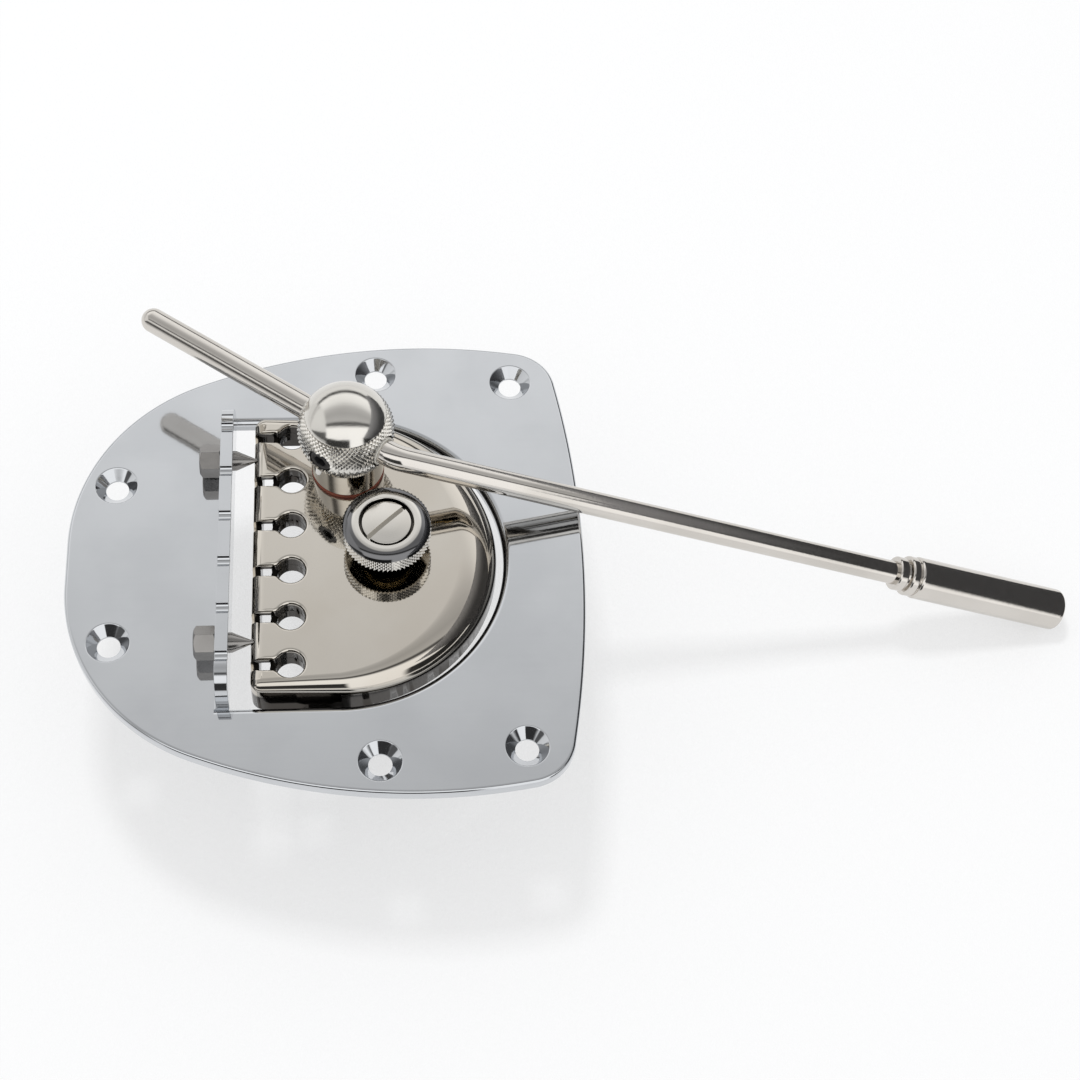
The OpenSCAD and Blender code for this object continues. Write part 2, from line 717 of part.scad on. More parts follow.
module post_washer() {
    color("lightgray") post_collar(washer_d, washer_top, washer_t);
}

// Split lock washer, shown closed up flat under load
module post_lock_washer() {
    color("gray") difference() {
        post_collar(lock_washer_d, lock_washer_top, lock_washer_t);
        at_post() translate([0, -0.4, lock_washer_top - lock_washer_t - over])
            cube([lock_washer_d, 0.8, lock_washer_t + 2 * over]);
    }
}

module post_nut() {
    color("silver") at_post() difference() {
        translate([0, 0, post_nut_top - post_nut_t]) cylinder(d = post_nut_hex / cos(30), h = post_nut_t, $fn = 6);
        translate([0, 0, post_nut_top - post_nut_t - over])
            cylinder(d = post_thread_d + 2 * run_gap, h = post_nut_t + 2 * over);
    }
}

// Places things in the arm's own frame: the ball's centre is the origin and the short end lies along -Z
module along_arm() {
    translate([-post_x, post_y, ball_z]) rotate([0, 0, short_angle]) rotate([0, 90, 0]) children();
}

module arm_ball() {
    r = ball_d / 2;
    color("silver") difference() {
        translate([-post_x, post_y, ball_z]) sphere(r);
        at_post() translate([0, 0, ball_z - r - over]) cylinder(r = r, h = ball_flat - ball_z + r + over);
        at_post() translate([0, 0, ball_flat - over]) cylinder(r = spigot_r + 0.01, h = spigot_top - ball_flat + over);
        along_arm() translate([0, 0, -r - over]) cylinder(r = bore_r, h = 2 * (r + over));
        at_set_screw() cylinder(d = set_screw_d + 0.02, h = r + over);
    }
}

// The set screw enters square to the arm, level with the ball's centre, with +Z pointing out of its mouth
module at_set_screw() {
    translate([-post_x, post_y, ball_z]) rotate([0, 0, short_angle - 90]) rotate([0, 90, 0]) children();
}

module ball_set_screw() {
    outer = ball_d / 2 - 0.7;
    inner = liner_r + 0.1;
    color("black") at_set_screw() difference() {
        translate([0, 0, inner]) cylinder(d = set_screw_d, h = outer - inner);
        translate([0, 0, outer - 2]) cylinder(d = 2.5 / cos(30), h = 2 + over, $fn = 6);
    }
}

// Nylon liner that lets the arm turn and slide in the ball
module arm_liner() {
    color("ivory") along_arm() difference() {
        translate([0, 0, liner_back]) cylinder(r = liner_r, h = liner_front - liner_back);
        translate([0, 0, liner_back - over])
            cylinder(d = arm_d + 2 * run_gap, h = liner_front - liner_back + 2 * over);
    }
}

// Places things at the corner of the bend with +Z along the arm's long end
module along_grip() {
    along_arm() rotate([0, 0, bend_roll]) translate([0, 0, bend_at]) rotate([-bend_turn, 0, 0]) children();
}

module arm_rod() {
    r = arm_d / 2;
    color("silver") {
        along_arm() translate([0, 0, -short_len + r]) cylinder(r = r, h = short_len - r + bend_start);
        along_arm() translate([0, 0, -short_len + r]) sphere(r);
        along_arm() rotate([0, 0, bend_roll]) translate([0, bend_r, bend_start]) rotate([0, -90, 0])
            rotate([0, 0, -90 - bend_lap]) rotate_extrude(angle = bend_turn + 2 * bend_lap)
                translate([bend_r, 0]) circle(r - 0.01);
        along_grip() translate([0, 0, bend_tangent])
            cylinder(r = r, h = long_len - bend_tangent - grip_end_wall - 0.1);
    }
}

// Two narrow collars, then the plain sleeve, closed at its far end
module arm_grip() {
    r = grip_d / 2;
    bore = arm_d / 2 + 0.02;
    blind = grip_len - grip_end_wall;
    second = collar_len + collar_gap;
    sleeve = 2 * collar_len;
    color("silver") along_grip() translate([0, 0, grip_start]) rotate_extrude() polygon([
        [bore, 0], [r - 1.3, 0], [r - 0.9, 0.4], [r - 0.9, collar_len - 0.5], [r - 1.7, collar_len],
        [r - 0.7, second], [r - 0.2, second + 0.5], [r - 0.2, sleeve - 0.5], [r - 0.6, sleeve],
        [r, sleeve + 0.6], [r, grip_len - grip_end_r], [r - 0.3, grip_len - grip_end_r / 3],
        [r - grip_end_r, grip_len], [0, grip_len], [0, blind], [bore, blind]]);
}

main_plate();
pivot_screw_far();
pivot_screw_near();
string_plate();
wheel_bush();
thumb_wheel();
tension_screw();
spring_bracket();
bracket_screws();
spring_seat();
main_spring();
spring_cup();
spring_nut();
post_bush();
post_ring();
arm_post();
post_washer();
post_lock_washer();
post_nut();
arm_ball();
ball_set_screw();
arm_liner();
arm_rod();
arm_grip();
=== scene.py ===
import bmesh
import bpy
import numpy as np
from math import radians
from mathutils import Euler, Matrix


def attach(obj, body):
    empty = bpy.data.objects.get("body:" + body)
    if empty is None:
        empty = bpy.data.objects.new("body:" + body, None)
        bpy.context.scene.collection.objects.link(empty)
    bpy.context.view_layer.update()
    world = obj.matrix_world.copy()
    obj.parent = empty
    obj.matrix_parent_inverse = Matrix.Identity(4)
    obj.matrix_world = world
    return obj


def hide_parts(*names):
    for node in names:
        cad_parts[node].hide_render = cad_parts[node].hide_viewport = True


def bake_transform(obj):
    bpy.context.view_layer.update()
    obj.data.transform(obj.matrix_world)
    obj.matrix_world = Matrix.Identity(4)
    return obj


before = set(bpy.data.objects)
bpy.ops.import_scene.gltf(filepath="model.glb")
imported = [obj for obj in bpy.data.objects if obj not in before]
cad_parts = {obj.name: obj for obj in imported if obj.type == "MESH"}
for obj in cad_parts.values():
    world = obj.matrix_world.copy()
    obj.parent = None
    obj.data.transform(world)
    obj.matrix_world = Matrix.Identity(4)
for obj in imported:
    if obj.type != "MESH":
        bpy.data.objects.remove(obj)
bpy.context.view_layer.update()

# Lengths are in millimetres until a piece is finished, then its mesh is brought to metres.
scene = bpy.context.scene

plateThick = 2.5
stringYs = [(i - 2.5) * 10.34 for i in range(6)]
sheetTop = 7.5
postPlace = (-5.7, 18.2)
ballCentre = np.array([-5.7, 18.2, 21.25])
wheelPlace = (1.9, 0.0)
pivotY, pivotZ = 20.68, 6.7


# Shapes
def gridFaces(rows, cols, closed=True, ring=False):  # quads between neighbours of a grid numbered row by row
    r = np.arange(rows if ring else rows - 1)[:, None]
    c = np.arange(cols if closed else cols - 1)[None, :]
    low, high, nxt = r * cols, (r + 1) % rows * cols, (c + 1) % cols
    return np.stack([low + c, low + nxt, high + nxt, high + c], -1).reshape(-1, 4)


def arc(cx, cy, r, start, end, steps):  # points of a circle between two angles in degrees, both ends kept
    a = np.radians(np.linspace(start, end, steps + 1))
    return np.stack([cx + r * np.cos(a), cy + r * np.sin(a)], -1)


def placed(points, origin=(0, 0, 0), zAxis=(0, 0, 1), xAxis=None):  # from a piece's own axes to the frame's
    z = np.array(zAxis, float) / np.linalg.norm(zAxis)
    x = np.array(xAxis if xAxis is not None else ((1, 0, 0) if abs(z[0]) < 0.9 else (0, 1, 0)), float)
    x -= z * (x @ z)
    x /= np.linalg.norm(x)
    return points @ np.stack([x, np.cross(z, x), z]) + np.array(origin, float)


class Solid:
    # A closed body under construction: cut, joined, bevelled and then finished
    def __init__(self, name, points, faces):
        mesh = bpy.data.meshes.new(name)
        mesh.from_pydata(np.asarray(points, float).tolist(), [], [list(map(int, f)) for f in faces])
        self.obj = bpy.data.objects.new(name, mesh)
        scene.collection.objects.link(self.obj)
        b = bmesh.new()
        b.from_mesh(mesh)
        bmesh.ops.remove_doubles(b, verts=b.verts, dist=1e-4)
        bmesh.ops.dissolve_degenerate(b, edges=b.edges, dist=1e-5)
        bmesh.ops.recalc_face_normals(b, faces=b.faces)
        b.to_mesh(mesh)
        b.free()

    def bake(self):
        graph = bpy.context.evaluated_depsgraph_get()
        old = self.obj.data
        new = bpy.data.meshes.new_from_object(self.obj.evaluated_get(graph))
        self.obj.modifiers.clear()
        self.obj.data = new
        bpy.data.meshes.remove(old)

    def combine(self, tool, action):
        mod = self.obj.modifiers.new("combine", "BOOLEAN")
        mod.operation, mod.object, mod.solver = action, tool.obj, "MANIFOLD"
        self.bake()
        bpy.data.objects.remove(tool.obj)
        return self

    def cut(self, *tools):
        for tool in tools:
            self.combine(tool, "DIFFERENCE")
        return self

    def add(self, *tools):
        for tool in tools:
            self.combine(tool, "UNION")
        return self

    def within(self, tool):
        return self.combine(tool, "INTERSECT")

    def bevel(self, width, steps=3, angle=35):
        mod = self.obj.modifiers.new("edges", "BEVEL")
        mod.width, mod.segments, mod.limit_method = width, steps, "ANGLE"
        mod.angle_limit, mod.use_clamp_overlap = radians(angle), True
        self.bake()
        return self

    def finish(self, paint, body, nodes, slot, sharp=38, flat=True):
        obj = self.obj
        obj.data.shade_smooth()
        obj.data.set_sharp_from_angle(angle=radians(sharp))
        mod = obj.modifiers.new("shading", "WEIGHTED_NORMAL")
        mod.keep_sharp, mod.weight = True, 80
        self.bake()
        if flat:
            levelShading(obj.data)
        obj.data.transform(Matrix.Scale(0.001, 4))
        obj.data.materials.clear()
        obj.data.materials.append(paint)
        if body:
            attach(obj, body)
        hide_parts(*nodes)
        return obj


def levelShading(mesh):  # on level faces, and where others meet them smoothly, shading follows the level exactly
    count = len(mesh.loops)
    vertexOf = np.empty(count, int)
    mesh.loops.foreach_get("vertex_index", vertexOf)
    shade = np.empty(count * 3)
    mesh.corner_normals.foreach_get("vector", shade)
    shade = shade.reshape(-1, 3)
    faceNormal = np.empty(len(mesh.polygons) * 3)
    mesh.polygons.foreach_get("normal", faceNormal)
    faceNormal = faceNormal.reshape(-1, 3)
    sizes = np.empty(len(mesh.polygons), int)
    mesh.polygons.foreach_get("loop_total", sizes)
    faceOf = np.repeat(np.arange(len(mesh.polygons)), sizes)
    edgeOf = np.empty(count, int)
    mesh.loops.foreach_get("edge_index", edgeOf)
    ends = np.empty(len(mesh.edges) * 2, int)
    mesh.edges.foreach_get("vertices", ends)
    ends = ends.reshape(-1, 2)
    parted = np.zeros(len(ends), bool)
    for way in (1, -1):
        level = (faceNormal[:, 2] * way > 0.99999)
        touched = np.zeros(len(mesh.vertices), bool)
        touched[vertexOf[level[faceOf]]] = True
        nearFace = faceNormal[faceOf][:, 2] * way > 0.8
        shade[touched[vertexOf] & nearFace] = (0, 0, way)
        parted |= (np.bincount(edgeOf, nearFace, len(ends)) == 1) & touched[ends].any(1)
    sharp = mesh.attributes.get("sharp_edge") or mesh.attributes.new("sharp_edge", "BOOLEAN", "EDGE")
    was = np.zeros(len(ends), bool)
    sharp.data.foreach_get("value", was)
    sharp.data.foreach_set("value", was | parted)
    mesh.normals_split_custom_set(shade.tolist())


def lathe(name, profile, steps=128, place=(0, 0, 0), axis=(0, 0, 1), xAxis=None, ring=False):
    # (radius, height) pairs turned round an axis; a ring's profile closes on itself
    p = np.array(profile, float)
    a = np.linspace(0, 2 * np.pi, steps, endpoint=False)
    grid = np.stack([p[:, :1] * np.cos(a), p[:, :1] * np.sin(a), p[:, 1:] + 0 * a], -1)
    return Solid(name, placed(grid.reshape(-1, 3), place, axis, xAxis), gridFaces(len(p), steps, True, ring))


def stack(name, rings, place=(0, 0, 0), axis=(0, 0, 1), xAxis=None):  # outlines of equal count, closed at both ends
    rows, cols = len(rings), len(rings[0])
    points = np.concatenate([np.asarray(ring, float) for ring in rings])
    caps = [list(range(cols)), list(range((rows - 1) * cols, rows * cols))]
    return Solid(name, placed(points, place, axis, xAxis), gridFaces(rows, cols).tolist() + caps)


def prism(name, outline, low, high, place=(0, 0, 0), axis=(0, 0, 1), xAxis=None):
    flat = np.asarray(outline, float)
    return stack(name, [np.column_stack([flat, np.full(len(flat), z)]) for z in (low, high)], place, axis, xAxis)


def tube(name, line, along, side, radius, sides=32):
    # Rings round a line: each point carries the way it runs and one way square to it
    line, along, side = (np.asarray(v, float) for v in (line, along, side))
    radius = np.broadcast_to(radius, len(line))[:, None, None]
    other = np.cross(along, side)
    a = np.linspace(0, 2 * np.pi, sides, endpoint=False)[None, :, None]
    grid = line[:, None] + radius * (np.cos(a) * side[:, None] + np.sin(a) * other[:, None])
    ends = [list(range(sides)), list(range((len(line) - 1) * sides, len(line) * sides))]
    return Solid(name, grid.reshape(-1, 3), gridFaces(len(line), sides).tolist() + ends)


def rounded(r, z, size, start, end, steps=6):  # an arc of a profile, given by its centre
    return [tuple(q) for q in arc(r, z, size, start, end, steps)]


# Finishes
# near-black colour painted in as shade and dark reflection: in the keyholes, low on the skirt and round the wheel's
# screw
paintedShadeColour = (0.06, 0.055, 0.05, 1)
nickelTone = (0.68, 0.66, 0.62)


class Wire:
    # A socket that adds a Math node for each operator used on it
    def __init__(self, paint, socket):
        self.paint, self.socket = paint, socket

    def calc(self, action, *others):
        values = {i: v for i, v in enumerate((self,) + others)}
        return self.paint.node("ShaderNodeMath", {"operation": action}, values)

    def __add__(self, v): return self.calc("ADD", v)
    def __radd__(self, v): return self.calc("ADD", v)
    def __mul__(self, v): return self.calc("MULTIPLY", v)
    def __rmul__(self, v): return self.calc("MULTIPLY", v)
    def __sub__(self, v): return self.calc("SUBTRACT", v)
    def __rsub__(self, v): return (self * -1) + v
    def __truediv__(self, v): return self.calc("DIVIDE", v)
    def __pow__(self, v): return self.calc("POWER", v)

    def ease(self, low, high, a=0.0, b=1.0):  # smooth step from a to b between two values
        return self.paint.node("ShaderNodeMapRange", {"interpolation_type": "SMOOTHSTEP"},
                               {"Value": self, "From Min": low, "From Max": high, "To Min": a, "To Max": b})


class Paint:
    def __init__(self, name, tree=None):
        if tree is None:
            self.material = bpy.data.materials.new(name)
            self.material.use_nodes = True
            tree = self.material.node_tree
            self.shader = tree.nodes["Principled BSDF"]
        self.tree = tree

    def node(self, kind, settings=None, sockets=None, out=0):
        n = self.tree.nodes.new(kind)
        for key, value in (settings or {}).items():
            if key == "stops":
                ramp = n.color_ramp
                ramp.elements[0].position, ramp.elements[0].color = value[0][0], value[0][1]
                ramp.elements[1].position, ramp.elements[1].color = value[-1][0], value[-1][1]
                for place, colour in value[1:-1]:
                    ramp.elements.new(place).color = colour
            else:
                setattr(n, key, value)
        for key, value in (sockets or {}).items():
            if isinstance(value, Wire):
                self.tree.links.new(value.socket, n.inputs[key])
            else:
                n.inputs[key].default_value = value
        return Wire(self, n.outputs[out])

    def place(self, scale=(1, 1, 1)):  # the piece's own coordinates, in metres, stretched
        own = self.node("ShaderNodeTexCoord", out="Object")
        return self.node("ShaderNodeMapping", None, {"Vector": own, "Scale": scale})

    def noise(self, scale, stretch=(1, 1, 1), detail=2.0, rough=0.5):
        return self.node("ShaderNodeTexNoise", None,
                         {"Vector": self.place(stretch), "Scale": scale, "Detail": detail, "Roughness": rough})

    def set(self, name, value):
        if isinstance(value, Wire):
            self.tree.links.new(value.socket, self.shader.inputs[name])
        else:
            self.shader.inputs[name].default_value = value
        return self

    def bump(self, height, strength, distance):
        return self.set("Normal", self.node("ShaderNodeBump", None,
                                            {"Height": height, "Strength": strength, "Distance": distance}))

    def blend(self, factor, a, b):
        return self.node("ShaderNodeMix", {"data_type": "RGBA"}, {0: factor, 6: a, 7: b}, out=2)


def metal(name, colour, dull, rough, spread, stretch=(1, 1, 1), grain=0.0, grainScale=900, waves=0.0):
    # Plated metal: colour drifts a little to a duller one, polish varies, and fine marks run along one way
    p = Paint(name)
    drift = p.noise(55, detail=3).ease(0.35, 0.7)
    marks = p.noise(grainScale, stretch, 3.0)
    p.set("Metallic", 1.0)
    p.set("Base Color", p.blend(drift, (*colour, 1), (*dull, 1)))
    p.set("Roughness", rough + marks * spread + drift * (spread * 0.4))
    height = marks * grain
    if waves:
        height = height + p.noise(38, detail=1.0) * waves
    p.bump(height, 0.35, 0.0002)
    return p.material


def dullPaint(name, colour, other, rough, scale, depth):
    p = Paint(name)
    speck = p.noise(scale, detail=4.0)
    p.set("Base Color", p.blend(speck, (*colour, 1), (*other, 1)))
    p.set("Roughness", rough + speck * 0.15)
    p.bump(speck, depth, 0.00015)
    return p.material


chrome = metal("mirrorChrome", (0.60, 0.615, 0.635), (0.56, 0.575, 0.595), 0.025, 0.05, (0.25, 3.0, 1.0),
               0.04, 260, 0.05)


def sheetPaint():  # warm polished nickel with painted shade: dark, dull colour inside the keyholes and low on the skirt
    p = Paint("warmNickel")
    split = p.node("ShaderNodeSeparateXYZ", None, {0: p.place()}).socket.node.outputs
    x, y, z = (Wire(p, out) for out in split)
    # painted shade: the colour turns near black and duller inside the keyholes and low on the skirt
    paintedShade = x.ease(-0.0241, -0.0239) * x.ease(-0.0128, -0.0132) * z.ease(0.0070, 0.0065)
    paintedShade = paintedShade * y.calc("ABSOLUTE").ease(0.0296, 0.0292)
    paintedShade = paintedShade.calc("MAXIMUM", z.ease(0.0042, 0.0032))
    drift = p.noise(55, detail=3).ease(0.35, 0.7)
    marks = p.noise(300, detail=3)
    p.set("Metallic", 1.0)
    outer = p.blend(drift, (0.60, 0.565, 0.51, 1), (0.57, 0.53, 0.47, 1))
    p.set("Base Color", p.blend(paintedShade, outer, paintedShadeColour))
    p.set("Roughness", 0.03 + marks * 0.04 + paintedShade * 0.12)
    p.bump(marks * 0.03 + p.noise(38, detail=1.0) * 0.06, 0.35, 0.0002)
    return p.material


warmNickel = sheetPaint()
nickel = metal("polishedNickel", nickelTone, (0.62, 0.59, 0.54), 0.05, 0.06, (1, 1, 1), 0.05, 700)
rodNickel = metal("rodNickel", (0.66, 0.63, 0.59), (0.60, 0.57, 0.53), 0.06, 0.08, (3, 1, 3), 0.10, 420)
brushedNickel = metal("brushedNickel", (0.70, 0.68, 0.64), (0.62, 0.60, 0.56), 0.07, 0.09, (1, 5, 1), 0.10, 420)


def crownPaint():  # polished nickel, with a painted dark reflection in a ring on the crown and painted shade, nearly black, in the gap round the screw
    p = Paint("crownNickel")
    split = p.node("ShaderNodeSeparateXYZ", None, {0: p.place()}).socket.node.outputs
    x, y, z = (Wire(p, out) for out in split)
    x, y = x - wheelPlace[0] / 1000, y - wheelPlace[1] / 1000
    radius = (x * x + y * y) ** 0.5
    # painted reflection: a ring on the crown's outer slope is coloured dark grey
    ring = radius.ease(0.0066, 0.0069) * z.ease(0.01515, 0.01525)
    # painted shade: the gap round the screw is coloured nearly black
    gapShade = radius.ease(0.00545, 0.00535) * z.ease(0.01645, 0.0163)
    p.set("Metallic", 1.0)
    crown = p.blend(ring, (*nickelTone, 1), (0.17, 0.17, 0.175, 1))
    p.set("Base Color", p.blend(gapShade, crown, paintedShadeColour))
    p.set("Roughness", 0.05 + p.noise(700, detail=3) * 0.06)
    p.bump(p.noise(38, detail=1.0), 0.02, 0.0002)
    return p.material


crownNickel = crownPaint()
darkNickel = metal("darkNickel", (0.30, 0.29, 0.28), (0.22, 0.21, 0.20), 0.10, 0.12, (1, 1, 1), 0.15, 500)
zincSteel = metal("zincSteel", (0.60, 0.61, 0.63), (0.50, 0.51, 0.52), 0.28, 0.15, (1, 4, 1), 0.3, 500)
springSteel = metal("springSteel", (0.36, 0.36, 0.37), (0.27, 0.27, 0.28), 0.26, 0.15, (1, 1, 1), 0.2, 900)
brass = metal("turnedBrass", (0.78, 0.60, 0.30), (0.66, 0.48, 0.22), 0.2, 0.12, (1, 1, 5), 0.25, 700)
blackOxide = dullPaint("blackOxide", (0.012, 0.012, 0.013), (0.03, 0.03, 0.032), 0.3, 900, 0.15)
redFibre = dullPaint("redFibre", (0.30, 0.075, 0.04), (0.2, 0.045, 0.025), 0.5, 1200, 0.4)
nylon = dullPaint("nylon", (0.80, 0.78, 0.72), (0.74, 0.72, 0.66), 0.35, 600, 0.1)
print("finishes ready")

# Main plate with its folded flange
plateShape = {"front": 61.4, "rear": 41.2, "halfWidth": 51.3, "shoulder": 40.6, "corner": 9.7, "flank": 119.0,
              "rearBow": 224.0, "flankX": 9.0, "edge": 0.8, "openingEdge": 1.5, "openingRadius": 32.4,
              "openingX": -7.4, "flangeFront": -31.0, "flangeTop": 11.3, "flangeHalf": 32.8, "flangeCorner": 5.5,
              "holes": ((-52.3, 17.9), (0.0, 44.3), (28.0, 41.9))}


def innerTouch(c1, r1, c2, r2, r):  # centre of a circle that touches two others from inside
    d = np.linalg.norm(c2 - c1)
    along = ((r1 - r) ** 2 - (r2 - r) ** 2 + d * d) / (2 * d)
    up = np.sqrt((r1 - r) ** 2 - along ** 2)
    e = (c2 - c1) / d
    return c1 + along * e + up * np.array([-e[1], e[0]])


def plateRing(inset, z):  # arcs of shoulder, flank, corner and rear edge, each drawn in by the inset
    s = plateShape
    flank = np.array([s["flankX"], s["halfWidth"] - s["flank"]])
    rear = np.array([s["rear"] - s["rearBow"], 0.0])
    sx = s["shoulder"] - s["front"]
    shoulder = np.array([sx, flank[1] + np.sqrt((s["flank"] - s["shoulder"]) ** 2 - (sx - flank[0]) ** 2)])
    corner = innerTouch(rear, s["rearBow"], flank, s["flank"], s["corner"])
    angle = lambda a, b: np.degrees(np.arctan2(b[1] - a[1], b[0] - a[0]))
    a1, a2, a3 = angle(flank, shoulder), angle(flank, corner), angle(rear, corner)
    upper = np.concatenate([arc(*shoulder, s["shoulder"] - inset, 180, a1, 56)[:-1],
                            arc(*flank, s["flank"] - inset, a1, a2, 40)[:-1],
                            arc(*corner, s["corner"] - inset, a2, a3, 24)[:-1],
                            arc(*rear, s["rearBow"] - inset, a3, 0, 24)[:-1]])
    tip = np.array([[s["rear"] - inset, 0.0]])
    flat = np.concatenate([upper, tip, upper[::-1] * [1, -1]])
    return np.column_stack([flat, np.full(len(flat), z)])


def openingRing(out, z):  # straight front, straight sides and a round end
    s = plateShape
    r = s["openingRadius"] + out
    flat = np.concatenate([[[s["flangeFront"] - 0.5, -r]], arc(s["openingX"], 0, r, -90, 90, 96),
                           [[s["flangeFront"] - 0.5, r]]])
    return np.column_stack([flat, np.full(len(flat), z)])


def edgeSteps(size, top, steps=7):  # (how far in, height) round an upper edge
    t = np.linspace(0, np.pi / 2, steps + 1)
    return np.stack([size * (1 - np.cos(t)), top - size + size * np.sin(t)], -1)


rows = [(0.15, 0.0), (0.0, 0.15)] + [tuple(q) for q in edgeSteps(plateShape["edge"], plateThick)]
plate = stack("mainPlate", [plateRing(*q) for q in rows])
edge = plateShape["openingEdge"]
rows = [(0.0, -1.0)] + [tuple(q) for q in edgeSteps(edge, plateThick)] + [(edge, 4.0)]
plate.cut(stack("opening", [openingRing(*q) for q in rows]))
for x, y in plateShape["holes"]:
    for side in (1, -1):
        bore = [(0, -1), (2.45, -1), (2.45, 0), (2.3, 0.15), (2.3, 0.55)] + \
               [(4.05, 2.3)] + rounded(4.4, 1.95 + 0.2, 0.35, 135, 90, 4) + [(4.4, 4), (0, 4)]
        plate.cut(lathe("screwHole", bore, 64, (x, side * y, 0)))


def flangePiece():
    s = plateShape
    front, back, top = s["flangeFront"], s["flangeFront"] + plateThick, s["flangeTop"]
    section = np.concatenate([[[front - 1.5, 2.49], [front - 0.5, 2.5]], arc(front - 0.5, 3.0, 0.5, -90, 0, 6)[1:],
                              [[front, top], [back, top]], arc(front - 0.5, 3.0, 3.0, 0, -90, 14),
                              [[front - 1.5, 0.01]]])
    fold = prism("flange", section, -s["flangeHalf"], s["flangeHalf"], axis=(0, -1, 0), xAxis=(1, 0, 0))
    half, r = s["flangeHalf"], s["flangeCorner"]
    edge = np.concatenate([[[-half, -3], [half, -3]], arc(half - r, top - r, r, 0, 90, 12),
                           arc(-half + r, top - r, r, 90, 180, 12)])
    fold.within(prism("flangeFace", edge, -40, -20, axis=(1, 0, 0), xAxis=(0, 1, 0)))
    for y in stringYs:
        notch = [(0, -40), (1.25, -40), (1.25, -20), (0, -20)]
        fold.cut(lathe("stringNotch", notch, 40, (0, y, top + 0.45), (1, 0, 0)))
    return fold.bevel(0.3, 3, 40)


plate.add(flangePiece())
for side in (1, -1):
    bore = [(0, -40), (2.05, -40), (2.05, -20), (0, -20)]
    plate.cut(lathe("pivotHole", bore, 48, (0, side * pivotY, pivotZ), (1, 0, 0)))
plate.finish(chrome, "frame", ["main_plate"], "chrome_plate")
print("main plate ready")

# Pivot screws
pivotShape = {"headBack": -35.3, "headFront": -31.0, "flats": 5.8, "shank": 2.0, "coneStart": -28.0, "tip": -23.6}
for name, side in (("pivotScrewFar", 1), ("pivotScrewNear", -1)):
    s = pivotShape
    corner = s["flats"] / np.sqrt(3)
    place = (0, side * pivotY, pivotZ)
    hexagon = arc(0, 0, corner, 0, 300, 5)
    head = prism(name, hexagon, s["headBack"], s["headFront"] - 0.02, place, (1, 0, 0), (0, 0, 1))
    dome = [(0, s["headBack"]), (s["flats"] / 2 - 0.25, s["headBack"]), (corner + 0.05, s["headBack"] + 0.55),
            (corner + 0.05, s["headFront"] - 0.35), (s["flats"] / 2 - 0.1, s["headFront"]), (0, s["headFront"])]
    head.within(lathe("headShape", dome, 64, place, (1, 0, 0)))
    head.bevel(0.13, 2, 25)
    body = [(0, s["headFront"] - 0.5), (s["shank"], s["headFront"] - 0.5), (s["shank"], s["coneStart"]),
            (0.12, s["tip"] - 0.06), (0, s["tip"])]
    head.add(lathe("shank", body, 96, place, (1, 0, 0)))
    head.finish(darkNickel, "frame", ["pivot_screw_far" if side > 0 else "pivot_screw_near"], "dark_nickel", 30)
print("pivot screws ready")

# String plate
sheetShape = {"front": -24.5, "endX": -7.4, "half": 31.0, "thick": 1.6, "skirt": -1.5, "corner": 2.2, "lipWide": 2.6,
              "lipDrop": 1.8, "frontRoll": 2.0, "sideRoll": 3.0, "endRoll": 7.2, "edgeRadius": 3.6, "keyX": -16.9,
              "keyRadius": 2.8, "slot": 2.2, "flare": 1.7, "slotDepth": 3.0, "rim": 0.62, "collar": 4.0,
              "collarFoot": 2.1}


def sheetOutline(inset):  # points, outward ways, the roll's width at each, and how far each is part of the front lip
    s = sheetShape
    half, front = s["half"] - inset, s["front"] + inset
    c = max(s["corner"] - inset, 0.5)
    turn = np.linspace(-90, 90, 145)
    fans = [(arc(s["endX"], 0, half, -90, 90, 144), turn)]
    side = np.column_stack([np.linspace(s["endX"], front + c, 8)[1:-1], np.full(6, half)])
    fans.append((side, np.full(6, 90.0)))
    fans.append((arc(front + c, half - c, c, 90, 180, 12), np.linspace(90, 180, 13)))
    fans.append((arc(front + c, -half + c, c, 180, 270, 12), np.linspace(180, 270, 13)))
    fans.append((side[::-1] * [1, -1], np.full(6, 270.0)))
    points = np.concatenate([f[0] for f in fans])
    angle = np.concatenate([f[1] for f in fans])
    ways = np.stack([np.cos(np.radians(angle)), np.sin(np.radians(angle))], -1)
    # The level face ends on a circle that lies a little forward of the round end's own
    narrow, wide = s["half"] - s["sideRoll"], s["half"] - s["endRoll"]
    level = (narrow ** 2 + wide ** 2) / (2 * wide)
    away = level - wide
    turned = np.radians(np.minimum(np.abs(angle), 90))
    roll = s["half"] + away * np.cos(turned) - np.sqrt(level ** 2 - (away * np.sin(turned)) ** 2)
    taper = np.clip((s["endX"] - points[:, 0]) / (s["endX"] - s["front"]), 0, 1)
    roll -= (s["sideRoll"] - s["frontRoll"]) * taper
    lip = np.clip(1 - np.abs(angle - 180) / 90, 0, 1)
    return points, ways, np.maximum(roll - inset * 0.6, 0.5), lip


def rollProfile(width, inset, steps=17):  # how far in and how far down: an even bend to 64 degrees, then a wide edge
    knee, edge = radians(64), max(sheetShape["edgeRadius"] - inset, 0.4)
    edge = np.minimum(edge, width * 0.8)
    bend = (width - edge * (1 - np.sin(knee))) / np.sin(knee)
    first, second = np.linspace(0, knee, steps), np.linspace(knee, np.pi / 2, 7)[1:]
    inward = [width - bend * np.sin(t) for t in first] + [edge * (1 - np.sin(t)) for t in second]
    low = bend * (1 - np.cos(knee))
    down = [bend * (1 - np.cos(t)) for t in first] + [low + edge * (np.cos(knee) - np.cos(t)) for t in second]
    return np.array(inward), np.array(down)


